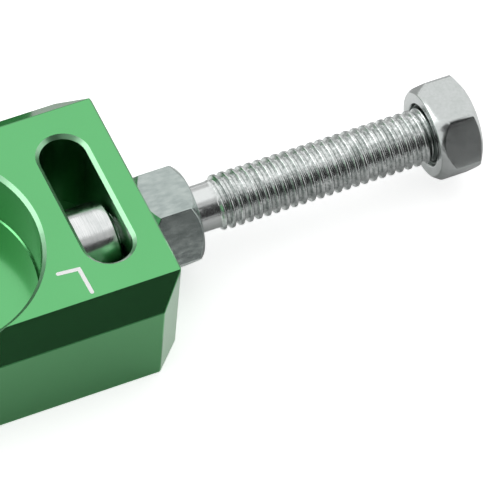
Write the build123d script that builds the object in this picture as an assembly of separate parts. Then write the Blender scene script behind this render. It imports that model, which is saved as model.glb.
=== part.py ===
from build123d import *
from math import radians, sin, sqrt, tan
import os

# Motorcycle chain adjuster: a milled axle block with a captive adjuster bolt.
# All sizes are in millimetres. The origin is on the axle's axis at the block's bottom face,
# +X runs along the bolt towards its head, and +Z points up out of the axle nut's recess.

# Block: outside
AXLE_TO_END = 23.1
AXLE_TO_TAIL = 17.0
TOP_WIDTH = 23.0
THICKNESS = 12.5
FRONT_CHAMFER_RUN = 3.1
FRONT_CHAMFER_DROP = 2.1
BACK_CHAMFER_RUN = 2.1
BACK_CHAMFER_DROP = 2.1
FRONT_CORNER_SETBACK = 3.1
BACK_CORNER_SETBACK = 3.0
EDGE_BREAK = 0.08
END_EDGE_BREAK = 0.2

# Block: axle bore and the round recess for the axle nut
AXLE_BORE_RADIUS = 7.55
RECESS_RADIUS = 11.85
RECESS_DEPTH = 7.0
RECESS_CHAMFER = 0.4
RECESS_FLOOR_CHAMFER = 0.15
BORE_CHAMFER = 0.15

# Block: window for the barrel nut, behind the end wall
END_WALL = 3.0
WINDOW_WIDTH = 5.0
WINDOW_LENGTH = 16.3
WINDOW_CHAMFER = 0.4
WINDOW_FLOOR_GAP = 0.6

# Bolt
BOLT_AXIS_Y = -1.4
THREAD_RADIUS = 2.95
THREAD_PITCH = 1.0
THREAD_DEPTH = 0.5
THREAD_LEAD_IN = 1.6
THREAD_END_CHAMFER = 0.5
INNER_THREAD_PAST_NUT = 0.15
NECK_RADIUS = 2.5
NECK_LENGTH = 2.55
OUTER_THREAD_LENGTH = 24.1
BOLT_HOLE_CLEARANCE = 0.35

# Bolt head
HEAD_ACROSS_FLATS = 9.8
HEAD_HEIGHT = 4.9
HEAD_CORNER_ROUNDING = 0.6
HEAD_BEARING_RADIUS = 4.6
HEAD_BEARING_BEVEL = 54.0
HEAD_CROWN_RADIUS = 4.3
HEAD_CROWN_BEVEL = 33.0
HEAD_ANGLE = -0.9
HEAD_GROOVE_WIDTH = 0.9
HEAD_GROOVE_DEPTH = 0.4

# Lock nut
NUT_ACROSS_FLATS = 10.0
NUT_HEIGHT = 5.1
NUT_GAP = 0.2
NUT_INNER_RADIUS = 4.95
NUT_INNER_BEVEL = 52.0
NUT_OUTER_RADIUS = 4.8
NUT_OUTER_BEVEL = 45.0
NUT_ANGLE = 0.3
NUT_COUNTERSINK = 0.45

# Barrel nut
BARREL_RADIUS = 4.15
BARREL_WALL_GAP = 0.35
BARREL_BACK_GAP = 0.3
BARREL_CHAMFER = 0.25
BOLT_END_INSET = 0.2

# Clearance of the inner thread in both nuts, drawn as plain cylinders
THREAD_CLEARANCE = 0.05

# Places worked out from the sizes above
BOLT_AXIS_Z = THICKNESS / 2
WALL_INNER_X = AXLE_TO_END - END_WALL
WINDOW_X = WALL_INNER_X - WINDOW_WIDTH / 2
WINDOW_FLOOR_Z = BOLT_AXIS_Z - BARREL_RADIUS - WINDOW_FLOOR_GAP
RECESS_FLOOR_Z = THICKNESS - RECESS_DEPTH
BARREL_LENGTH = WINDOW_WIDTH - BARREL_WALL_GAP - BARREL_BACK_GAP
BARREL_START_X = WALL_INNER_X - WINDOW_WIDTH + BARREL_BACK_GAP
BOLT_START_X = BARREL_START_X + BOLT_END_INSET
NUT_START_X = AXLE_TO_END + NUT_GAP
NECK_START_X = NUT_START_X + NUT_HEIGHT + INNER_THREAD_PAST_NUT
OUTER_THREAD_START_X = NECK_START_X + NECK_LENGTH
HEAD_START_X = OUTER_THREAD_START_X + OUTER_THREAD_LENGTH
THREADED_BORE_RADIUS = THREAD_RADIUS + THREAD_CLEARANCE
BOLT_HOLE_RADIUS = THREAD_RADIUS + BOLT_HOLE_CLEARANCE


def on_bolt_axis(x):
    """Place for a shape drawn about +Z, turned to run along +X on the bolt's axis from x."""
    return Pos(x, BOLT_AXIS_Y, BOLT_AXIS_Z) * Rot(0, 90, 0)


def turned(points):
    """Solid of revolution about Z from (radius, height) points on its outline."""
    outline = make_face(Plane.XZ * Polyline(*points, close=True))
    return revolve(outline, Axis.Z)


def countersink(radius, depth):
    """Cone that breaks the edge of a hole of the given radius at z = 0, opening upwards."""
    reach = 2 * depth
    return turned([(0, -depth), (radius, -depth), (radius + depth + reach, reach), (0, reach)])


def hexagon(across_flats, height, angle, lower, upper, corner_rounding=0):
    """Hexagonal prism along +Z whose corners are turned off at both ends.

    lower and upper are (face radius, bevel angle) of each end's conical bevel. The bevel
    meets the flats in the curved edges that a turned hexagon has. At angle 0 two of the
    flats lie level once the prism is on the bolt's axis.
    """
    corner_radius = across_flats / sqrt(3)
    outline = RegularPolygon(corner_radius, 6, rotation=30 + angle)
    if corner_rounding:
        outline = fillet(outline.vertices(), corner_rounding)
    prism = extrude(outline, amount=height)
    envelope = corner_radius * 1.05
    lower_radius, lower_bevel = lower
    upper_radius, upper_bevel = upper
    lower_rise = (envelope - lower_radius) * tan(radians(lower_bevel))
    upper_drop = (envelope - upper_radius) * tan(radians(upper_bevel))
    blank = turned(
        [
            (0, 0),
            (lower_radius, 0),
            (envelope, lower_rise),
            (envelope, height - upper_drop),
            (upper_radius, height),
            (0, height),
        ]
    )
    return prism & blank


def edges_broken(solid, width, end_width):
    """Convex solid with a narrow flat of the given setback cut along each of its edges.

    The edges of its two end faces, square to the X axis, get a flat of their own setback.
    """
    result = solid
    ends = solid.faces().sort_by(Axis.X)
    end_edges = ends[0].edges() + ends[-1].edges()
    for edge in solid.edges():
        first, second = [face for face in solid.faces() if edge in face.edges()]
        normals = first.normal_at(), second.normal_at()
        turn = normals[0].get_angle(normals[1])
        outward = (normals[0] + normals[1]).normalized()
        setback = end_width if edge in end_edges else width
        depth = setback * sin(radians(turn / 2))
        flat = Plane(edge.center() - outward * depth, z_dir=outward)
        result = split(result, bisect_by=flat, keep=Keep.BOTTOM)
    return result


def block_blank():
    """Bar with its two long top edges chamfered and its four corners cut in plan."""
    half_top = TOP_WIDTH / 2
    front = half_top + FRONT_CHAMFER_RUN
    back = half_top + BACK_CHAMFER_RUN
    section = Polyline(
        (-front, 0),
        (back, 0),
        (back, THICKNESS - BACK_CHAMFER_DROP),
        (half_top, THICKNESS),
        (-half_top, THICKNESS),
        (-front, THICKNESS - FRONT_CHAMFER_DROP),
        close=True,
    )
    plan = Polyline(
        (AXLE_TO_END, -half_top),
        (AXLE_TO_END, half_top),
        (AXLE_TO_END - BACK_CORNER_SETBACK, back),
        (BACK_CORNER_SETBACK - AXLE_TO_TAIL, back),
        (-AXLE_TO_TAIL, half_top),
        (-AXLE_TO_TAIL, -half_top),
        (FRONT_CORNER_SETBACK - AXLE_TO_TAIL, -front),
        (AXLE_TO_END - FRONT_CORNER_SETBACK, -front),
        close=True,
    )
    bar = extrude(
        make_face(Plane.YZ.offset(-AXLE_TO_TAIL) * section),
        amount=AXLE_TO_TAIL + AXLE_TO_END,
    )
    blank = bar & extrude(make_face(plan), amount=THICKNESS)
    return edges_broken(blank, EDGE_BREAK, END_EDGE_BREAK)


def axle_cuts():
    """Recess for the axle nut with its broken rim, and the bore through its floor."""
    top = Pos(0, 0, THICKNESS)
    floor = Pos(0, 0, RECESS_FLOOR_Z)
    recess = floor * turned(
        [
            (0, 0),
            (RECESS_RADIUS - RECESS_FLOOR_CHAMFER, 0),
            (RECESS_RADIUS, RECESS_FLOOR_CHAMFER),
            (RECESS_RADIUS, THICKNESS),
            (0, THICKNESS),
        ]
    )
    bore = turned([(0, -1), (AXLE_BORE_RADIUS, -1), (AXLE_BORE_RADIUS, THICKNESS), (0, THICKNESS)])
    rim = top * countersink(RECESS_RADIUS, RECESS_CHAMFER)
    bore_mouth = floor * countersink(AXLE_BORE_RADIUS, BORE_CHAMFER)
    return recess + bore + rim + bore_mouth


def window_cut():
    """Round-ended blind window that the barrel nut drops into, with its rim chamfered."""
    depth = THICKNESS - WINDOW_FLOOR_Z
    centre = Pos(WINDOW_X, 0, 0)
    shaft = centre * Pos(0, 0, WINDOW_FLOOR_Z) * extrude(
        SlotOverall(WINDOW_LENGTH, WINDOW_WIDTH, rotation=90), amount=depth
    )
    rim_low = SlotOverall(WINDOW_LENGTH, WINDOW_WIDTH, rotation=90)
    spread = 2 * WINDOW_CHAMFER
    rim_high = SlotOverall(WINDOW_LENGTH + spread, WINDOW_WIDTH + spread, rotation=90)
    rim = centre * loft(
        [
            Pos(0, 0, THICKNESS - WINDOW_CHAMFER) * rim_low,
            Pos(0, 0, THICKNESS) * rim_high,
        ]
    )
    return shaft + rim


def bolt_hole_cut():
    """Clearance hole for the bolt through the end wall."""
    reach = AXLE_TO_END - WINDOW_X + 1
    return on_bolt_axis(WINDOW_X) * turned(
        [(0, 0), (BOLT_HOLE_RADIUS, 0), (BOLT_HOLE_RADIUS, reach), (0, reach)]
    )


def axle_block():
    """Aluminium block that carries the axle and holds the bolt's inner end."""
    return block_blank() - axle_cuts() - window_cut() - bolt_hole_cut()


def thread_rings(start, end):
    """Outline of the outer thread between two heights, drawn as a V groove at every pitch."""
    points = []
    for turn in range(int((end - start) / THREAD_PITCH)):
        crest = start + turn * THREAD_PITCH
        points.append((THREAD_RADIUS - THREAD_DEPTH, crest + THREAD_PITCH / 2))
        points.append((THREAD_RADIUS, crest + THREAD_PITCH))
    return points


def adjuster_bolt():
    """Hexagon bolt: outer thread, neck, then the inner thread that carries both nuts."""
    inner_length = NECK_START_X - BOLT_START_X
    neck_end = inner_length + NECK_LENGTH
    shank_length = HEAD_START_X - BOLT_START_X
    step = THREAD_RADIUS - NECK_RADIUS
    thread_start = neck_end + THREAD_LEAD_IN
    shank = turned(
        [
            (0, 0),
            (THREAD_RADIUS - THREAD_END_CHAMFER, 0),
            (THREAD_RADIUS, THREAD_END_CHAMFER),
            (THREAD_RADIUS, inner_length - step),
            (NECK_RADIUS, inner_length),
            (NECK_RADIUS, neck_end),
            (THREAD_RADIUS, thread_start),
            *thread_rings(thread_start, shank_length),
            (THREAD_RADIUS, shank_length + HEAD_GROOVE_DEPTH),
            (0, shank_length + HEAD_GROOVE_DEPTH),
        ]
    )
    head = hexagon(
        HEAD_ACROSS_FLATS,
        HEAD_HEIGHT,
        HEAD_ANGLE,
        (HEAD_BEARING_RADIUS, HEAD_BEARING_BEVEL),
        (HEAD_CROWN_RADIUS, HEAD_CROWN_BEVEL),
        HEAD_CORNER_ROUNDING,
    )
    groove = turned(
        [
            (0, -1),
            (THREAD_RADIUS + HEAD_GROOVE_WIDTH, -1),
            (THREAD_RADIUS + HEAD_GROOVE_WIDTH, 0),
            (THREAD_RADIUS + HEAD_GROOVE_WIDTH / 2, HEAD_GROOVE_DEPTH),
            (0, HEAD_GROOVE_DEPTH),
        ]
    )
    return on_bolt_axis(BOLT_START_X) * shank + on_bolt_axis(HEAD_START_X) * (head - groove)


def lock_nut():
    """Hexagon nut, bevelled and countersunk at both ends, next to the block's end face."""
    body = hexagon(
        NUT_ACROSS_FLATS,
        NUT_HEIGHT,
        NUT_ANGLE,
        (NUT_INNER_RADIUS, NUT_INNER_BEVEL),
        (NUT_OUTER_RADIUS, NUT_OUTER_BEVEL),
    )
    bore = turned(
        [(0, -1), (THREADED_BORE_RADIUS, -1), (THREADED_BORE_RADIUS, NUT_HEIGHT + 1), (0, NUT_HEIGHT + 1)]
    )
    upper = Pos(0, 0, NUT_HEIGHT) * countersink(THREADED_BORE_RADIUS, NUT_COUNTERSINK)
    lower = Rot(180, 0, 0) * countersink(THREADED_BORE_RADIUS, NUT_COUNTERSINK)
    return on_bolt_axis(NUT_START_X) * (body - bore - upper - lower)


def barrel_nut():
    """Round nut on the bolt's inner end, which pulls against the end wall from inside."""
    body = turned(
        [
            (THREADED_BORE_RADIUS, 0),
            (BARREL_RADIUS - BARREL_CHAMFER, 0),
            (BARREL_RADIUS, BARREL_CHAMFER),
            (BARREL_RADIUS, BARREL_LENGTH - BARREL_CHAMFER),
            (BARREL_RADIUS - BARREL_CHAMFER, BARREL_LENGTH),
            (THREADED_BORE_RADIUS, BARREL_LENGTH),
        ]
    )
    return on_bolt_axis(BARREL_START_X) * body


PIECES = {
    "axle_block": axle_block,
    "adjuster_bolt": adjuster_bolt,
    "lock_nut": lock_nut,
    "barrel_nut": barrel_nut,
}

os.makedirs("parts", exist_ok=True)
for name, make in PIECES.items():
    export_step(make(), f"parts/{name}.step")
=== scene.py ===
import math

import bmesh
import bpy
from mathutils import Matrix, Vector


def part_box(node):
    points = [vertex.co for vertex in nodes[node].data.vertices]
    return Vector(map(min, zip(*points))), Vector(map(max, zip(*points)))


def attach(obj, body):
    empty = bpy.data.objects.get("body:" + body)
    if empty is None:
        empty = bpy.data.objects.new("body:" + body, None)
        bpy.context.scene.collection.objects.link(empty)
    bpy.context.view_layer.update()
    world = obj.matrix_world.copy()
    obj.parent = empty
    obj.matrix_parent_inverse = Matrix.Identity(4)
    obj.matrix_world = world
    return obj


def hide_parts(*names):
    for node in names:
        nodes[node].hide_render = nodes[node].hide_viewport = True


# Motorcycle chain adjuster: the finish of its green block and plated bolt, on a white table.
# The scene is in metres, and sizes below are in millimetres until MM turns them.
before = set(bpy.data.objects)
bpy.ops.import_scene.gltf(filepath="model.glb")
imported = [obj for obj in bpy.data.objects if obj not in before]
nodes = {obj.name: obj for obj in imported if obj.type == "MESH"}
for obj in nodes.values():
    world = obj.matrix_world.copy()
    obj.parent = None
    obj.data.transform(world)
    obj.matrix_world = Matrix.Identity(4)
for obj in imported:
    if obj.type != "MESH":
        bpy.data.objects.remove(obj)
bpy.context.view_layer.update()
MM = 0.001

# Bolt: the sizes that its threads are cut to
THREAD_RADIUS = 2.95
THREAD_PITCH = 1.0
CREST_SHIFT = 0.6
CREST_SEAM_DEPTH = 0.01
ROOT_RADIUS_AT_NECK = 2.5
ROOT_RADIUS_AT_HEAD = 2.6
NECK_RADIUS = 2.5
NECK_LENGTH = 2.55
THREAD_PAST_NUT = 0.15
THREAD_END_CHAMFER = 0.5
THREAD_LEAD_IN = 0.9
THREAD_RUN_OUT = 0.6

# Half widths of the thread's crests, roots and rolled seam, in shares of the pitch
CREST_HALF_WIDTH = 0.08
ROOT_HALF_WIDTH = 0.08
SEAM_HALF_WIDTH = 0.06

# Dimple in the bolt's inner end
DIMPLE_DEPTH = 0.25
DIMPLE_FLOOR_RADIUS = 0.735
DIMPLE_RADIUS = 1.47

# Hexagons of the head and the lock nut: widths, bevels in degrees, and edges
EDGE_ROUNDING = 0.08
EDGE_STEPS = 2
SHARP_ANGLE = 18.0
HEAD_ACROSS_FLATS = 9.8
HEAD_HEIGHT = 4.9
HEAD_CORNER_ROUNDING = 0.6
HEAD_BEARING_RADIUS = 4.6
HEAD_BEARING_BEVEL = 54.0
HEAD_CROWN_RADIUS = 4.3
HEAD_CROWN_BEVEL = 33.0
HEAD_CROWN_RING = 2.58
HEAD_ANGLE = -0.9
HEAD_GROOVE_WIDTH = 0.5
HEAD_GROOVE_FLOOR_WIDTH = 0.35
HEAD_GROOVE_DEPTH = 0.5
NUT_ACROSS_FLATS = 10.0
NUT_CORNER_ROUNDING = 0.1
NUT_INNER_RADIUS = 5.15
NUT_INNER_BEVEL = 52.0
NUT_OUTER_RADIUS = 4.8
NUT_OUTER_BEVEL = 45.0
NUT_ANGLE = 0.3
NUT_COUNTERSINK = 0.45
NUT_BORE_RADIUS = 3.0

# Columns round each mesh, shared out between a hexagon's flats and its rounded corners
COLUMNS = 96
FLAT_COLUMNS = 9
CORNER_COLUMNS = 7
OUTER_ROWS_PER_TURN = 20
INNER_ROWS_PER_TURN = 10

# Points closer than these are one: on a surface, where surfaces meet, and on a stray edge
WELD = 0.001
JOINT_WELD = 0.002
STRAY_EDGE = 0.0001

# Window for the barrel nut, and round recess for the axle nut
WINDOW_X = 17.6
WINDOW_WIDTH = 5.0
WINDOW_LENGTH = 16.3
RECESS_RADIUS = 11.85
RECESS_FLOOR = 5.65
RIM = 0.4

# Side mark: a laser-etched letter L on the block's top face, drawn as one stroke
MARK_FOOT_END = (11.31, -7.58)
MARK_CORNER = (13.5, -7.79)
MARK_STEM_END = (13.59, -10.86)
MARK_WIDTH = 0.42
MARK_HEIGHT = 0.01
MARK_END_STEPS = 8

# Distances that keep an area's colour off the face next to it
TOP_MARGIN = 0.005
FLOOR_MARGIN = 0.01
HEAD_MARGIN = 0.01
GROOVE_SIDE_MARGIN = 0.05
GROOVE_FLOOR_MARGIN = 0.02

# Lengths before and past the outer thread's start where the neck's colour fades into it
NECK_FADE_BEFORE = 0.3
NECK_FADE_PAST = 1.0

# Patterns of the metals, by the size of their marks
DYE_CLOUD = 8.33
BLAST_GRAIN = 1 / 7
BLAST_DEPTH = 0.01
PLATE_CLOUD = 1.43
ETCH_GRAIN = 0.125
BOLT_GRAIN = (0.3, 0.3, 0.3)
BOLT_GRAIN_DEPTH = 0.03
NUT_GRAIN = (1.2, 0.4, 0.4)
NUT_GRAIN_DEPTH = 0.004
BARREL_GRAIN = (0.08, 2.0, 2.0)
BARREL_GRAIN_DEPTH = 0.005

# Camera, at the photograph's viewpoint, with its angles in degrees
CAMERA_AIM = (34.41, -4.75, 0.98)
CAMERA_AZIMUTH = -29.14
CAMERA_ELEVATION = 54.11
CAMERA_ROLL = 5.92
CAMERA_DISTANCE = 569.9
CAMERA_LENS = 398.84
CAMERA_NEAR = 10.0
CAMERA_FAR = 20000.0

# Table, and how much it glows to the camera and in the metal's reflections
TABLE_SIZE = 3000.0
TABLE_DROP = 0.02
TABLE_LIFT = 0.6
TABLE_MIRRORED_LIFT = 0.15

# Matt cards on the table, painted shade seen only in the metal's reflections, the back one also a
# painted green reflection: two corners and a colour
CARDS = (
    ("front_card", (-TABLE_SIZE, -TABLE_SIZE), (TABLE_SIZE, -55), "#808080"),
    ("near_card", (-80, -55), (24, -14.7), "#CCCCCC"),
    ("bolt_card", (30, -55), (75, -3), "#C8C8C8"),
    ("back_card", (-120, 14.2), (22.4, 90), "#3F7F4C"),
    ("far_card", (22.4, 14.2), (75, 90), "#BEBEBE"),
)

# Panels round the object: azimuths and elevations in degrees, and brightness
PANEL_DISTANCE = 600.0
PANEL_STEPS = 12
PANELS = (
    ("back_wall", (0, 50), (0.5, 27), 0.6),
    ("left_softbox", (-87, -46), (4, 38), 2.5),
    ("right_softbox", (92, 122), (0, 30), 1.3),
    ("front_flag", (138, 190), (2.5, 57), 0.04),
    ("low_flag", (190, 232), (2.5, 40), 0.04),
    ("side_flag", (232, 250), (24, 42), 0.1),
    ("front_scrim", (105, 262), (57, 74), 0.5),
)

# Places read from the CAD pieces
bolt_low, bolt_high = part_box("adjuster_bolt")
nut_low, nut_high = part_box("lock_nut")
block_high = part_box("axle_block")[1]
AXIS_Y = (bolt_low.y + bolt_high.y) / 2 / MM
AXIS_Z = (bolt_low.z + bolt_high.z) / 2 / MM
BOLT_START = bolt_low.x / MM
NUT_START = nut_low.x / MM
NUT_END = nut_high.x / MM
INNER_THREAD_END = NUT_END + THREAD_PAST_NUT
OUTER_THREAD_START = INNER_THREAD_END + NECK_LENGTH
HEAD_END = bolt_high.x / MM
HEAD_START = HEAD_END - HEAD_HEIGHT
GROOVE_FLOOR = HEAD_START + HEAD_GROOVE_DEPTH
BLOCK_TOP = block_high.z / MM


def add(tree, kind, inputs=None, **settings):
    """Adds a node with its settings, and fills its inputs by name or number.

    An input takes a value, a socket to link, or a node, whose first output is linked.
    """
    made = tree.nodes.new(kind)
    for name, value in settings.items():
        setattr(made, name, value)
    for name, value in (inputs or {}).items():
        if isinstance(value, bpy.types.Node):
            value = value.outputs[0]
        if isinstance(value, bpy.types.NodeSocket):
            tree.links.new(value, made.inputs[name])
        else:
            made.inputs[name].default_value = value
    return made


def linear(code):
    """Linear RGBA of an sRGB colour written in hexadecimal."""
    values = [int(code[i : i + 2], 16) / 255 for i in (1, 3, 5)]
    return [v / 12.92 if v <= 0.04045 else ((v + 0.055) / 1.055) ** 2.4 for v in values] + [1.0]


def new_piece(name, mesh, material):
    """Object in the scene for a finished mesh, with its material."""
    piece = bpy.data.objects.new(name, mesh)
    bpy.context.scene.collection.objects.link(piece)
    if material is not None and not mesh.materials:
        mesh.materials.append(material)
    return piece


def modified(piece):
    """Turns a piece's modifiers into plain mesh and removes them."""
    bpy.context.view_layer.update()
    evaluated = piece.evaluated_get(bpy.context.evaluated_depsgraph_get())
    mesh = bpy.data.meshes.new_from_object(evaluated)
    piece.modifiers.clear()
    piece.data = mesh
    return mesh


def thread_tree():
    """Geometry nodes for a rolled screw thread about the bolt's axis, as one welded strip.

    The strip's rows follow the helix, so that every crest and root is a clean line, and both of
    its ends are drawn together into a plain ring.
    """
    tree = bpy.data.node_groups.new("rolled_thread", "GeometryNodeTree")
    interface = tree.interface
    interface.new_socket("Geometry", in_out="OUTPUT", socket_type="NodeSocketGeometry")
    for name in (
        "Start",
        "End",
        "Pitch",
        "Crest Shift",
        "Crest Radius",
        "First Root Radius",
        "Last Root Radius",
        "Start Radius",
        "End Radius",
        "Start Fade",
        "End Fade",
        "Seam Depth",
        "Crest Half Width",
        "Root Half Width",
        "Seam Half Width",
        "Axis Y",
        "Axis Z",
        "Turn",
    ):
        interface.new_socket(name, in_out="INPUT", socket_type="NodeSocketFloat")
    for name in ("Columns", "Rows per Turn"):
        interface.new_socket(name, in_out="INPUT", socket_type="NodeSocketInt")
    interface.new_socket("Material", in_out="INPUT", socket_type="NodeSocketMaterial")
    given = tree.nodes.new("NodeGroupInput").outputs

    # Flat unit grid about the origin, with rows for one turn more than the thread has
    length = add(tree, "ShaderNodeMath", {0: given["End"], 1: given["Start"]}, operation="SUBTRACT")
    turns = add(tree, "ShaderNodeMath", {0: length, 1: given["Pitch"]}, operation="DIVIDE")
    turns = add(tree, "ShaderNodeMath", {0: turns}, operation="CEIL")
    turns = add(tree, "ShaderNodeMath", {0: turns, 1: 1.0}, operation="ADD")
    rows = add(tree, "ShaderNodeMath", {0: turns, 1: given["Rows per Turn"]}, operation="MULTIPLY")
    row_points = add(tree, "ShaderNodeMath", {0: rows, 1: 1.0}, operation="ADD")
    column_points = add(tree, "ShaderNodeMath", {0: given["Columns"], 1: 1.0}, operation="ADD")
    grid = add(
        tree,
        "GeometryNodeMeshGrid",
        {"Size X": 1.0, "Size Y": 1.0, "Vertices X": row_points, "Vertices Y": column_points},
    )
    point = add(tree, "ShaderNodeSeparateXYZ", {0: tree.nodes.new("GeometryNodeInputPosition")})
    along = add(tree, "ShaderNodeMath", {0: point.outputs["X"], 1: 0.5}, operation="ADD")
    around = add(tree, "ShaderNodeMath", {0: point.outputs["Y"], 1: 0.5}, operation="ADD")

    # A row starts one pitch further back than it ends, and is then cut off at both ends
    row = add(tree, "ShaderNodeMath", {0: along, 1: turns, 2: around}, operation="MULTIPLY_ADD")
    row = add(tree, "ShaderNodeMath", {0: row, 1: 1.0}, operation="SUBTRACT")
    inputs = {0: row, 1: given["Pitch"], 2: given["Start"]}
    reach = add(tree, "ShaderNodeMath", inputs, operation="MULTIPLY_ADD")
    x = add(tree, "ShaderNodeClamp", {"Value": reach, "Min": given["Start"], "Max": given["End"]})

    # Distance from the middle of the nearest crest, in pitches
    phase = add(tree, "ShaderNodeMath", {0: x, 1: given["Crest Shift"]}, operation="SUBTRACT")
    phase = add(tree, "ShaderNodeMath", {0: phase, 1: given["Pitch"]}, operation="DIVIDE")
    phase = add(tree, "ShaderNodeMath", {0: phase, 1: around}, operation="SUBTRACT")
    phase = add(tree, "ShaderNodeMath", {0: phase}, operation="FRACT")
    phase = add(tree, "ShaderNodeMath", {0: phase, 1: 0.5}, operation="SUBTRACT")
    off_crest = add(tree, "ShaderNodeMath", {0: phase}, operation="ABSOLUTE")

    # Crests and roots are rounded, and a rolled crest has a shallow seam along its middle
    seam = add(
        tree,
        "ShaderNodeMapRange",
        {
            "Value": off_crest,
            "From Max": given["Seam Half Width"],
            "To Min": given["Seam Depth"],
            "To Max": 0.0,
        },
        interpolation_type="SMOOTHSTEP",
    )
    crest = add(tree, "ShaderNodeMath", {0: given["Crest Radius"], 1: seam}, operation="SUBTRACT")
    root = add(
        tree,
        "ShaderNodeMapRange",
        {
            "Value": x,
            "From Min": given["Start"],
            "From Max": given["End"],
            "To Min": given["First Root Radius"],
            "To Max": given["Last Root Radius"],
        },
    )
    root_side = add(tree, "ShaderNodeMath", {0: 0.5, 1: given["Root Half Width"]}, operation="SUBTRACT")
    radius = add(
        tree,
        "ShaderNodeMapRange",
        {
            "Value": off_crest,
            "From Min": given["Crest Half Width"],
            "From Max": root_side,
            "To Min": crest,
            "To Max": root,
        },
        interpolation_type="SMOOTHSTEP",
    )

    # The thread fades into a plain ring at both ends
    from_start = add(tree, "ShaderNodeMath", {0: x, 1: given["Start"]}, operation="SUBTRACT")
    from_end = add(tree, "ShaderNodeMath", {0: given["End"], 1: x}, operation="SUBTRACT")
    for end, distance in (("Start", from_start), ("End", from_end)):
        radius = add(
            tree,
            "ShaderNodeMapRange",
            {
                "Value": distance,
                "From Max": given[end + " Fade"],
                "To Min": given[end + " Radius"],
                "To Max": radius,
            },
            interpolation_type="SMOOTHSTEP",
        )

    # The strip is wrapped round the axis
    inputs = {0: around, 1: math.tau, 2: given["Turn"]}
    angle = add(tree, "ShaderNodeMath", inputs, operation="MULTIPLY_ADD")
    wrapped_point = add(tree, "ShaderNodeCombineXYZ", {"X": x})
    for axis, operation in (("Y", "COSINE"), ("Z", "SINE")):
        share = add(tree, "ShaderNodeMath", {0: angle}, operation=operation)
        inputs = {0: radius, 1: share, 2: given["Axis " + axis]}
        place = add(tree, "ShaderNodeMath", inputs, operation="MULTIPLY_ADD")
        tree.links.new(place.outputs[0], wrapped_point.inputs[axis])
    strip = add(tree, "GeometryNodeSetPosition", {"Geometry": grid, "Position": wrapped_point})
    strip = add(tree, "GeometryNodeMergeByDistance", {"Geometry": strip, "Distance": WELD * MM})
    strip = add(tree, "GeometryNodeSetShadeSmooth", {"Geometry": strip})
    strip = add(tree, "GeometryNodeRealizeInstances", {"Geometry": strip})
    strip = add(
        tree, "GeometryNodeSetMaterial", {"Geometry": strip, "Material": given["Material"]}
    )
    add(tree, "NodeGroupOutput", {0: strip})
    return tree


def thread_strip(tree, name, material, rows_per_turn, sizes):
    """Plain mesh of one thread, from its own inputs for the tree in millimetres."""
    base = new_piece(name, bpy.data.meshes.new(name), None)
    modifier = base.modifiers.new("thread", "NODES")
    modifier.node_group = tree
    shared = {
        "Pitch": THREAD_PITCH,
        "Crest Shift": CREST_SHIFT,
        "Crest Radius": THREAD_RADIUS,
        "Seam Depth": CREST_SEAM_DEPTH,
        "Axis Y": AXIS_Y,
        "Axis Z": AXIS_Z,
    }
    scaled = {key: value * MM for key, value in (shared | sizes).items()}
    values = scaled | {
        "Turn": math.radians(HEAD_ANGLE),
        "Crest Half Width": CREST_HALF_WIDTH,
        "Root Half Width": ROOT_HALF_WIDTH,
        "Seam Half Width": SEAM_HALF_WIDTH,
        "Columns": COLUMNS,
        "Rows per Turn": rows_per_turn,
        "Material": material,
    }
    for item in tree.interface.items_tree:
        if item.in_out == "INPUT":
            modifier[item.identifier] = values[item.name]
    mesh = modified(base)
    bpy.data.objects.remove(base)
    return mesh


def circle(x, radius, turn_degrees):
    """Ring of (x, radius, angle) for a shell, round the bolt's axis."""
    turn = math.radians(turn_degrees)
    return [(x, radius, turn + math.tau * column / COLUMNS) for column in range(COLUMNS)]


def hexagon_side(from_corner, across_flats, rounding):
    """Distance from the axis to a hexagon's outline, at an angle from its nearest corner."""
    half_side = math.radians(30)
    from_flat = half_side - abs(from_corner)
    rounding_centre = (across_flats / 2 - rounding) / math.cos(half_side)
    if from_flat <= math.atan2(rounding_centre / 2, across_flats / 2):
        return across_flats / 2 / math.cos(from_flat)
    aside = rounding_centre * math.sin(from_corner)
    return rounding_centre * math.cos(from_corner) + math.sqrt(rounding**2 - aside**2)


def hexagon_columns(turn_degrees, across_flats, rounding):
    """(radius, angle) of a hexagon's outline, with the columns close together at its corners."""
    side = math.radians(60)
    rounding_centre = (across_flats / 2 - rounding) / math.cos(side / 2)
    reach = side / 2 - math.atan2(rounding_centre / 2, across_flats / 2)
    corner_steps = CORNER_COLUMNS // 2
    offsets = [reach * step / corner_steps for step in range(corner_steps + 1)]
    flat_step = (side - 2 * reach) / (FLAT_COLUMNS + 1)
    offsets += [reach + flat_step * (step + 1) for step in range(FLAT_COLUMNS)]
    offsets += [side - reach * step / corner_steps for step in range(corner_steps, 0, -1)]
    columns = []
    for corner in range(6):
        for offset in offsets:
            from_corner = min(offset, side - offset)
            radius = hexagon_side(from_corner, across_flats, rounding)
            columns.append((radius, math.radians(turn_degrees) + corner * side + offset))
    return columns


def hexagon_rings(start, end, columns, lower, upper):
    """Rings of a turned hexagon between two faces, each with its face radius and bevel angle."""
    lower_radius, lower_bevel = lower
    upper_radius, upper_bevel = upper
    lower_slope = math.tan(math.radians(lower_bevel))
    upper_slope = math.tan(math.radians(upper_bevel))
    return [
        [(start, min(lower_radius, r), angle) for r, angle in columns],
        [(start + max(r - lower_radius, 0) * lower_slope, r, angle) for r, angle in columns],
        [(end - max(r - upper_radius, 0) * upper_slope, r, angle) for r, angle in columns],
        [(end, min(upper_radius, r), angle) for r, angle in columns],
    ]


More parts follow.
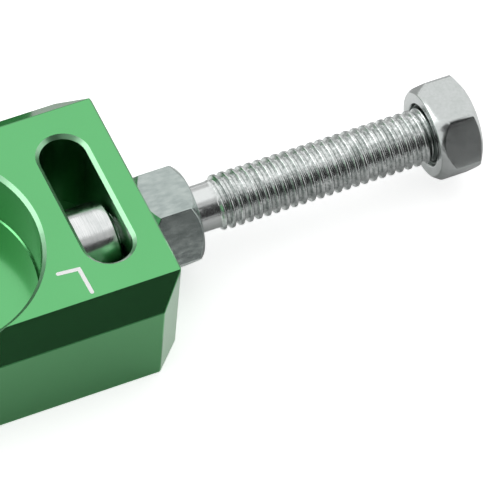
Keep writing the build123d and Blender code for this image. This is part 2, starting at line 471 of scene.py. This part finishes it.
def turned_shell(rings, closed=False):
    """Mesh round the bolt's axis from rings of (x, radius, angle), in millimetres and radians.

    A ring of radius 0 is a pole. A closed shell also joins its last ring to its first.
    """
    shell = bmesh.new()
    made = []
    for ring in rings:
        verts = []
        for x, radius, angle in ring:
            y = AXIS_Y + radius * math.cos(angle)
            z = AXIS_Z + radius * math.sin(angle)
            verts.append(shell.verts.new(Vector((x, y, z)) * MM))
        made.append(verts)
    pairs = list(zip(made, made[1:]))
    if closed:
        pairs.append((made[-1], made[0]))
    for first, second in pairs:
        for column in range(COLUMNS):
            after = (column + 1) % COLUMNS
            shell.faces.new((first[column], first[after], second[after], second[column]))
    bmesh.ops.remove_doubles(shell, verts=shell.verts, dist=WELD * MM)
    bmesh.ops.recalc_face_normals(shell, faces=shell.faces)
    mesh = bpy.data.meshes.new("turned")
    shell.to_mesh(mesh)
    shell.free()
    return mesh


def rounded(mesh):
    """The mesh with its sharp edges rounded."""
    piece = new_piece("rounding", mesh, None)
    bevel = piece.modifiers.new("bevel", "BEVEL")
    bevel.limit_method = "ANGLE"
    bevel.angle_limit = math.radians(SHARP_ANGLE)
    bevel.width = EDGE_ROUNDING * MM
    bevel.segments = EDGE_STEPS
    result = modified(piece)
    bpy.data.objects.remove(piece)
    return result


def joined(name, meshes, material):
    """One smooth piece from meshes whose edges meet, welded, with normals that keep flats flat."""
    whole = bmesh.new()
    for mesh in meshes:
        whole.from_mesh(mesh)
    bmesh.ops.remove_doubles(whole, verts=whole.verts, dist=JOINT_WELD * MM)
    bmesh.ops.dissolve_degenerate(whole, edges=whole.edges, dist=STRAY_EDGE * MM)
    bmesh.ops.recalc_face_normals(whole, faces=whole.faces)
    for face in whole.faces:
        face.smooth = True
        face.material_index = 0
    mesh = bpy.data.meshes.new(name)
    whole.to_mesh(mesh)
    whole.free()
    piece = new_piece(name, mesh, material)
    weighted = piece.modifiers.new("normals", "WEIGHTED_NORMAL")
    weighted.keep_sharp = True
    modified(piece)
    return piece


def adjuster_bolt(material):
    """Bolt with two rolled threads, a plain neck between them, and its turned hexagon head."""
    tree = thread_tree()
    end_radius = THREAD_RADIUS - THREAD_END_CHAMFER
    inner = thread_strip(
        tree,
        "inner_thread",
        material,
        INNER_ROWS_PER_TURN,
        {
            "Start": BOLT_START,
            "End": INNER_THREAD_END,
            "First Root Radius": ROOT_RADIUS_AT_NECK,
            "Last Root Radius": ROOT_RADIUS_AT_NECK,
            "Start Radius": end_radius,
            "End Radius": NECK_RADIUS,
            "Start Fade": THREAD_END_CHAMFER,
            "End Fade": THREAD_RUN_OUT,
        },
    )
    outer = thread_strip(
        tree,
        "outer_thread",
        material,
        OUTER_ROWS_PER_TURN,
        {
            "Start": OUTER_THREAD_START,
            "End": GROOVE_FLOOR,
            "First Root Radius": ROOT_RADIUS_AT_NECK,
            "Last Root Radius": ROOT_RADIUS_AT_HEAD,
            "Start Radius": NECK_RADIUS,
            "End Radius": THREAD_RADIUS,
            "Start Fade": THREAD_LEAD_IN,
            "End Fade": THREAD_RUN_OUT,
        },
    )
    dimple_floor = BOLT_START + DIMPLE_DEPTH
    tip = turned_shell(
        [
            circle(dimple_floor, 0.0, HEAD_ANGLE),
            circle(dimple_floor, DIMPLE_FLOOR_RADIUS, HEAD_ANGLE),
            circle(BOLT_START, DIMPLE_RADIUS, HEAD_ANGLE),
            circle(BOLT_START, end_radius, HEAD_ANGLE),
        ]
    )
    neck = turned_shell(
        [
            circle(INNER_THREAD_END, NECK_RADIUS, HEAD_ANGLE),
            circle(OUTER_THREAD_START, NECK_RADIUS, HEAD_ANGLE),
        ]
    )
    columns = hexagon_columns(HEAD_ANGLE, HEAD_ACROSS_FLATS, HEAD_CORNER_ROUNDING)
    head = turned_shell(
        [
            circle(GROOVE_FLOOR, THREAD_RADIUS, HEAD_ANGLE),
            circle(GROOVE_FLOOR, THREAD_RADIUS + HEAD_GROOVE_FLOOR_WIDTH, HEAD_ANGLE),
            circle(HEAD_START, THREAD_RADIUS + HEAD_GROOVE_WIDTH, HEAD_ANGLE),
            *hexagon_rings(
                HEAD_START,
                HEAD_END,
                columns,
                (HEAD_BEARING_RADIUS, HEAD_BEARING_BEVEL),
                (HEAD_CROWN_RADIUS, HEAD_CROWN_BEVEL),
            ),
            circle(HEAD_END, HEAD_CROWN_RING, HEAD_ANGLE),
            circle(HEAD_END, 0.0, HEAD_ANGLE),
        ]
    )
    piece = joined("threaded_bolt", [tip, inner, neck, outer, rounded(head)], material)
    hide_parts("adjuster_bolt")
    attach(piece, "bolt")


def lock_nut(material):
    """Lock nut with rounded edges and a countersunk bore."""
    mouth = NUT_BORE_RADIUS + NUT_COUNTERSINK
    columns = hexagon_columns(NUT_ANGLE, NUT_ACROSS_FLATS, NUT_CORNER_ROUNDING)
    shell = turned_shell(
        [
            circle(NUT_START + NUT_COUNTERSINK, NUT_BORE_RADIUS, NUT_ANGLE),
            circle(NUT_START, mouth, NUT_ANGLE),
            *hexagon_rings(
                NUT_START,
                NUT_END,
                columns,
                (NUT_INNER_RADIUS, NUT_INNER_BEVEL),
                (NUT_OUTER_RADIUS, NUT_OUTER_BEVEL),
            ),
            circle(NUT_END, mouth, NUT_ANGLE),
            circle(NUT_END - NUT_COUNTERSINK, NUT_BORE_RADIUS, NUT_ANGLE),
        ],
        closed=True,
    )
    piece = joined("hexagon_lock_nut", [rounded(shell)], material)
    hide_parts("lock_nut")
    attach(piece, "nut")


def stroke_end(centre, direction):
    """Half circle round the end of a stroke of the side mark."""
    side = Vector((-direction.y, direction.x))
    angles = [math.pi * step / MARK_END_STEPS - math.pi / 2 for step in range(MARK_END_STEPS + 1)]
    return [
        centre + MARK_WIDTH / 2 * (direction * math.cos(angle) + side * math.sin(angle))
        for angle in angles
    ]


def side_mark(material):
    """Etched L as a thin plate with round ends, sunk half of its thickness into the top face."""
    foot_end, corner, stem_end = [Vector(p) for p in (MARK_FOOT_END, MARK_CORNER, MARK_STEM_END)]
    foot = (foot_end - corner).normalized()
    stem = (stem_end - corner).normalized()
    # The two strokes' edges cross at the inner and the outer corner
    bisector = (foot + stem).normalized()
    reach = MARK_WIDTH / 2 / abs(bisector.cross(foot))
    outline = [
        corner - bisector * reach,
        *stroke_end(foot_end, foot),
        corner + bisector * reach,
        *stroke_end(stem_end, stem),
    ]
    plate = bmesh.new()
    low = [plate.verts.new(Vector((p.x, p.y, BLOCK_TOP - MARK_HEIGHT)) * MM) for p in outline]
    high = [plate.verts.new(Vector((p.x, p.y, BLOCK_TOP + MARK_HEIGHT)) * MM) for p in outline]
    plate.faces.new(low)
    plate.faces.new(high)
    for i in range(len(outline)):
        after = (i + 1) % len(outline)
        plate.faces.new((low[i], low[after], high[after], high[i]))
    bmesh.ops.triangulate(plate, faces=plate.faces)
    bmesh.ops.recalc_face_normals(plate, faces=plate.faces)
    mesh = bpy.data.meshes.new("side_mark")
    plate.to_mesh(mesh)
    plate.free()
    piece = new_piece("side_mark", mesh, material)
    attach(piece, "block")


def new_material(name):
    """Empty node material and its tree."""
    material = bpy.data.materials.new(name)
    material.use_nodes = True
    material.node_tree.nodes.clear()
    return material, material.node_tree


def place_on_piece(tree):
    """Coordinates in millimetres that stay on the piece."""
    own = tree.nodes.new("ShaderNodeTexCoord").outputs["Object"]
    return add(tree, "ShaderNodeVectorMath", {0: own, "Scale": 1 / MM}, operation="SCALE")


def milled_and_shade_masks(tree, place):
    """1 in the window and the recess, with their rims; and 1 on the walls below the rims, where shade
    is painted.
    """
    x, y, z = add(tree, "ShaderNodeSeparateXYZ", {0: place}).outputs
    inputs = {0: x, 1: WINDOW_X, 2: WINDOW_WIDTH / 2 + RIM}
    along = add(tree, "ShaderNodeMath", inputs, operation="COMPARE")
    inputs = {0: y, 1: 0.0, 2: WINDOW_LENGTH / 2 + RIM}
    across = add(tree, "ShaderNodeMath", inputs, operation="COMPARE")
    window = add(tree, "ShaderNodeMath", {0: along, 1: across}, operation="MULTIPLY")
    from_axis = add(tree, "ShaderNodeVectorMath", {0: place, 1: (1, 1, 0)}, operation="MULTIPLY")
    from_axis = add(tree, "ShaderNodeVectorMath", {0: from_axis}, operation="LENGTH")
    inputs = {0: from_axis.outputs["Value"], 1: RECESS_RADIUS + RIM}
    near = add(tree, "ShaderNodeMath", inputs, operation="LESS_THAN")
    inputs = {0: z, 1: RECESS_FLOOR + FLOOR_MARGIN}
    above_floor = add(tree, "ShaderNodeMath", inputs, operation="GREATER_THAN")
    recess = add(tree, "ShaderNodeMath", {0: near, 1: above_floor}, operation="MULTIPLY")
    inside = add(tree, "ShaderNodeMath", {0: window, 1: recess}, operation="MAXIMUM")
    masks = []
    for depth in (TOP_MARGIN, RIM):
        below = add(tree, "ShaderNodeMath", {0: z, 1: BLOCK_TOP - depth}, operation="LESS_THAN")
        masks.append(add(tree, "ShaderNodeMath", {0: inside, 1: below}, operation="MULTIPLY"))
    return masks


def anodised_aluminium():
    """Satin blasted aluminium, dyed green: metal that tints what it reflects, under clear oxide.

    The oxide layer adds an untinted reflection that turns the faces pale at a low angle. The
    rims milled round the window and the recess are rougher than the blasted faces, and painted
    paler, partly for their milled finish and partly as a painted highlight. The walls below them
    are painted darker as painted shade, so that the window looks nearly black.
    """
    material, tree = new_material("green_anodised_aluminium")
    place = place_on_piece(tree)
    dye = add(tree, "ShaderNodeTexNoise", {"Vector": place, "Scale": 1 / DYE_CLOUD, "Detail": 2.0})
    inputs = {"Factor": dye, 6: linear("#60BC72"), 7: linear("#66C279")}
    shade = add(tree, "ShaderNodeMix", inputs, data_type="RGBA")
    milled_and_highlight, shaded_walls = milled_and_shade_masks(tree, place)
    # Rims painted paler, partly a painted highlight, and walls below them painted darker as painted
    # shade
    for mask, colour in ((milled_and_highlight, "#8DC499"), (shaded_walls, "#4A9259")):
        inputs = {"Factor": mask, 6: shade.outputs[2], 7: linear(colour)}
        shade = add(tree, "ShaderNodeMix", inputs, data_type="RGBA")
    # Blasted grain is about 0.05 mm, and is drawn at a seventh of a millimetre so that it shows
    inputs = {"Vector": place, "Scale": 1 / BLAST_GRAIN, "Detail": 3.0}
    grain = add(tree, "ShaderNodeTexNoise", inputs)
    rough = add(tree, "ShaderNodeMapRange", {"Value": grain, "To Min": 0.14, "To Max": 0.2})
    rough = add(tree, "ShaderNodeMath", {0: milled_and_highlight, 1: 0.2, 2: rough}, operation="MULTIPLY_ADD")
    inputs = {"Height": grain, "Strength": 0.15, "Distance": BLAST_DEPTH * MM}
    bump = add(tree, "ShaderNodeBump", inputs)
    surface = add(
        tree,
        "ShaderNodeBsdfPrincipled",
        {
            "Base Color": shade.outputs[2],
            "Metallic": 1.0,
            "Roughness": rough,
            "Coat Weight": 1.0,
            "Coat Roughness": 0.1,
            "Normal": bump,
        },
    )
    add(tree, "ShaderNodeOutputMaterial", {"Surface": surface})
    return material


def metal_marks(tree, place, grain):
    """Marks of the given size along X, Y and Z, and the mottling of the metal between them."""
    inputs = {0: place, 1: [1 / size for size in grain]}
    stretched = add(tree, "ShaderNodeVectorMath", inputs, operation="MULTIPLY")
    marks = add(tree, "ShaderNodeTexNoise", {"Vector": stretched, "Scale": 1.0, "Detail": 4.0})
    inputs = {"Vector": place, "Scale": 1 / PLATE_CLOUD, "Detail": 3.0}
    cloud = add(tree, "ShaderNodeTexNoise", inputs)
    mottle = add(tree, "ShaderNodeMath", {0: marks, 1: cloud}, operation="ADD")
    inputs = {"Value": mottle, "From Min": 0.75, "From Max": 1.25}
    return marks, add(tree, "ShaderNodeMapRange", inputs)


def bright_metal(tree, shade, marks, mottle, strength, depth):
    """Shader of a bright metal whose marks stand out, and whose darker patches are rougher."""
    rough = add(tree, "ShaderNodeMapRange", {"Value": mottle, "To Min": 0.25, "To Max": 0.15})
    inputs = {"Height": marks, "Strength": strength, "Distance": depth * MM}
    bump = add(tree, "ShaderNodeBump", inputs)
    inputs = {"Base Color": shade, "Metallic": 1.0, "Roughness": rough, "Normal": bump}
    surface = add(tree, "ShaderNodeBsdfPrincipled", inputs)
    add(tree, "ShaderNodeOutputMaterial", {"Surface": surface})


def nut_steel(name, dark, pale, grain, depth):
    """Bright steel of one finish all over, mottled between two shades.

    Zinc plate over a drawn hexagon is a pale blue-grey, with soft marks along the bar. A turned
    nut is whiter, with fine marks round it from the lathe.
    """
    material, tree = new_material(name)
    marks, mottle = metal_marks(tree, place_on_piece(tree), grain)
    inputs = {"Factor": mottle, 6: linear(dark), 7: linear(pale)}
    shade = add(tree, "ShaderNodeMix", inputs, data_type="RGBA")
    bright_metal(tree, shade.outputs[2], marks, mottle, 0.5, depth)
    return material


def bolt_masks(tree, place):
    """Masks of the bolt: past its neck, in front of its head, and in the groove under the head, where
    shade is painted.
    """
    x = add(tree, "ShaderNodeSeparateXYZ", {0: place}).outputs["X"]
    past_neck = add(
        tree,
        "ShaderNodeMapRange",
        {
            "Value": x,
            "From Min": OUTER_THREAD_START - NECK_FADE_BEFORE,
            "From Max": OUTER_THREAD_START + NECK_FADE_PAST,
        },
    )
    in_front = add(tree, "ShaderNodeMath", {0: x, 1: HEAD_START - HEAD_MARGIN}, operation="LESS_THAN")
    inputs = {0: place, 1: (0, AXIS_Y, AXIS_Z)}
    from_axis = add(tree, "ShaderNodeVectorMath", inputs, operation="SUBTRACT")
    from_axis = add(tree, "ShaderNodeVectorMath", {0: from_axis, 1: (0, 1, 1)}, operation="MULTIPLY")
    from_axis = add(tree, "ShaderNodeVectorMath", {0: from_axis}, operation="LENGTH")
    groove_side = THREAD_RADIUS + HEAD_GROOVE_WIDTH - GROOVE_SIDE_MARGIN
    inputs = {0: from_axis.outputs["Value"], 1: groove_side}
    near_axis = add(tree, "ShaderNodeMath", inputs, operation="LESS_THAN")
    half_depth = HEAD_GROOVE_DEPTH / 2
    inputs = {0: x, 1: HEAD_START + half_depth, 2: half_depth + GROOVE_FLOOR_MARGIN}
    in_depth = add(tree, "ShaderNodeMath", inputs, operation="COMPARE")
    shaded_groove = add(tree, "ShaderNodeMath", {0: near_axis, 1: in_depth}, operation="MULTIPLY")
    return past_neck, in_front, shaded_groove


def bolt_steel():
    """Zinc plate over a rolled bolt: pale grey metal with fine, even pits.

    The neck is whiter than the head, and the thread more mottled and pitted. The groove under
    the head is painted dark, as painted shade in the crease.
    """
    material, tree = new_material("zinc_plated_bolt_steel")
    place = place_on_piece(tree)
    marks, mottle = metal_marks(tree, place, BOLT_GRAIN)
    past_neck, in_front, shaded_groove = bolt_masks(tree, place)
    inputs = {"Factor": mottle, 6: linear("#C6CBC9"), 7: linear("#CFD3D2")}
    head = add(tree, "ShaderNodeMix", inputs, data_type="RGBA").outputs[2]
    inputs = {"Factor": mottle, 6: linear("#ACB3B0"), 7: linear("#F2F5F4")}
    shank = add(tree, "ShaderNodeMix", inputs, data_type="RGBA").outputs[2]
    inputs = {"Factor": past_neck, 6: linear("#E6E9E8"), 7: shank}
    shank = add(tree, "ShaderNodeMix", inputs, data_type="RGBA").outputs[2]
    inputs = {"Factor": in_front, 6: head, 7: shank}
    shade = add(tree, "ShaderNodeMix", inputs, data_type="RGBA").outputs[2]
    # The groove under the head is painted dark: painted shade
    inputs = {"Factor": shaded_groove, 6: shade, 7: linear("#59625E")}
    shade = add(tree, "ShaderNodeMix", inputs, data_type="RGBA").outputs[2]
    thread = add(tree, "ShaderNodeMath", {0: past_neck, 1: in_front}, operation="MULTIPLY")
    strength = add(tree, "ShaderNodeMapRange", {"Value": thread, "To Min": 0.08, "To Max": 0.12})
    bright_metal(tree, shade, marks, mottle, strength, BOLT_GRAIN_DEPTH)
    return material


def laser_mark():
    """Laser-etched oxide: matt and chalk white, where the beam has bleached the dye."""
    material, tree = new_material("laser_etched_oxide")
    inputs = {"Vector": place_on_piece(tree), "Scale": 1 / ETCH_GRAIN, "Detail": 2.0}
    grain = add(tree, "ShaderNodeTexNoise", inputs)
    inputs = {"Factor": grain, 6: linear("#FAFBFA"), 7: linear("#FFFFFF")}
    shade = add(tree, "ShaderNodeMix", inputs, data_type="RGBA")
    inputs = {"Base Color": shade.outputs[2], "Roughness": 0.7}
    surface = add(tree, "ShaderNodeBsdfPrincipled", inputs)
    add(tree, "ShaderNodeOutputMaterial", {"Surface": surface})
    return material


def white_world():
    """Even white surroundings."""
    world = bpy.data.worlds.new("white_room")
    world.use_nodes = True
    tree = world.node_tree
    tree.nodes.clear()
    light = add(tree, "ShaderNodeBackground", {"Color": linear("#FFFFFF"), "Strength": 1.0})
    add(tree, "ShaderNodeOutputWorld", {"Surface": light})
    bpy.context.scene.world = world


def flat_sheet(name, low, high, drop, material):
    """Level rectangle of the stage, a little below the object's foot."""
    mesh = bpy.data.meshes.new(name)
    corners = [(low[0], low[1]), (high[0], low[1]), (high[0], high[1]), (low[0], high[1])]
    mesh.from_pydata([(x * MM, y * MM, -drop * MM) for x, y in corners], [], [(0, 1, 2, 3)])
    piece = new_piece(name, mesh, material)
    return piece


def table():
    """White table that takes the object's shadow, lifted to white where nothing shades it."""
    material, tree = new_material("white_table")
    ray = tree.nodes.new("ShaderNodeLightPath").outputs
    inputs = {0: ray["Is Glossy Ray"], 1: ray["Is Transmission Ray"]}
    mirrored = add(tree, "ShaderNodeMath", inputs, operation="MAXIMUM")
    lift = add(tree, "ShaderNodeMath", {0: ray["Is Camera Ray"], 1: TABLE_LIFT}, operation="MULTIPLY")
    inputs = {0: mirrored, 1: TABLE_MIRRORED_LIFT, 2: lift}
    lift = add(tree, "ShaderNodeMath", inputs, operation="MULTIPLY_ADD")
    paper = add(tree, "ShaderNodeBsdfDiffuse", {"Color": linear("#EDEDED")})
    glow = add(tree, "ShaderNodeEmission", {"Strength": lift})
    both = add(tree, "ShaderNodeAddShader", {0: paper, 1: glow})
    add(tree, "ShaderNodeOutputMaterial", {"Surface": both})
    flat_sheet("table", (-TABLE_SIZE, -TABLE_SIZE), (TABLE_SIZE, TABLE_SIZE), TABLE_DROP, material)


def card(name, low, high, colour):
    """Matt card flat on the table, seen only in the metal's reflections, as painted shade in them."""
    material, tree = new_material(name)
    paper = add(tree, "ShaderNodeBsdfDiffuse", {"Color": linear(colour)})
    add(tree, "ShaderNodeOutputMaterial", {"Surface": paper})
    piece = flat_sheet(name, low, high, TABLE_DROP / 2, material)
    piece.visible_camera = False
    piece.visible_diffuse = False
    piece.visible_shadow = False


def panel(name, azimuths, elevations, brightness):
    """Curved studio panel round the object, from and to the given angles in degrees.

    Azimuth 0 is towards +Y and 90 towards +X. The camera looks through it.
    """
    material, tree = new_material(name)
    light = add(tree, "ShaderNodeEmission", {"Strength": brightness})
    add(tree, "ShaderNodeOutputMaterial", {"Surface": light})
    shares = [step / PANEL_STEPS for step in range(PANEL_STEPS + 1)]
    verts = []
    for up in shares:
        el = math.radians(elevations[0] + (elevations[1] - elevations[0]) * up)
        for across in shares:
            az = math.radians(azimuths[0] + (azimuths[1] - azimuths[0]) * across)
            away = Vector((math.sin(az) * math.cos(el), math.cos(az) * math.cos(el), math.sin(el)))
            verts.append((Vector(CAMERA_AIM) + away * PANEL_DISTANCE) * MM)
    columns = PANEL_STEPS + 1
    faces = []
    for row in range(PANEL_STEPS):
        for column in range(PANEL_STEPS):
            first = row * columns + column
            faces.append((first, first + 1, first + columns + 1, first + columns))
    mesh = bpy.data.meshes.new(name)
    mesh.from_pydata(verts, [], faces)
    piece = new_piece(name, mesh, material)
    piece.visible_camera = False


def camera():
    """Long lens at the photograph's viewpoint: round the aim, then rolled."""
    azimuth = math.radians(CAMERA_AZIMUTH)
    elevation = math.radians(CAMERA_ELEVATION)
    back = Vector(
        (
            math.sin(azimuth) * math.cos(elevation),
            -math.cos(azimuth) * math.cos(elevation),
            math.sin(elevation),
        )
    )
    level = Vector((math.cos(azimuth), math.sin(azimuth), 0))
    right = Matrix.Rotation(math.radians(CAMERA_ROLL), 3, back) @ level
    up = back.cross(right)
    data = bpy.data.cameras.new("camera")
    data.lens = CAMERA_LENS
    data.clip_start = CAMERA_NEAR * MM
    data.clip_end = CAMERA_FAR * MM
    made = bpy.data.objects.new("camera", data)
    bpy.context.scene.collection.objects.link(made)
    stand = Matrix.Translation((Vector(CAMERA_AIM) + back * CAMERA_DISTANCE) * MM)
    made.matrix_world = stand @ Matrix((right, up, back)).transposed().to_4x4()
    bpy.context.scene.camera = made


# Stage and camera
bpy.context.scene.view_settings.view_transform = "Standard"
camera()
white_world()
table()
for values in PANELS:
    panel(*values)
# Cards of painted shade, seen only in the metal's reflections
for values in CARDS:
    card(*values)

# Pieces: the block and the barrel nut keep their CAD shape and get a finish
barrel_steel = nut_steel(
    "turned_bright_steel", "#DCE0DF", "#F4F6F5", BARREL_GRAIN, BARREL_GRAIN_DEPTH
)
for node, finish in (("axle_block", anodised_aluminium()), ("barrel_nut", barrel_steel)):
    nodes[node].data.materials.clear()
    nodes[node].data.materials.append(finish)
adjuster_bolt(bolt_steel())
lock_nut(nut_steel("zinc_plated_nut_steel", "#A6B1AE", "#BCC6C2", NUT_GRAIN, NUT_GRAIN_DEPTH))
side_mark(laser_mark())
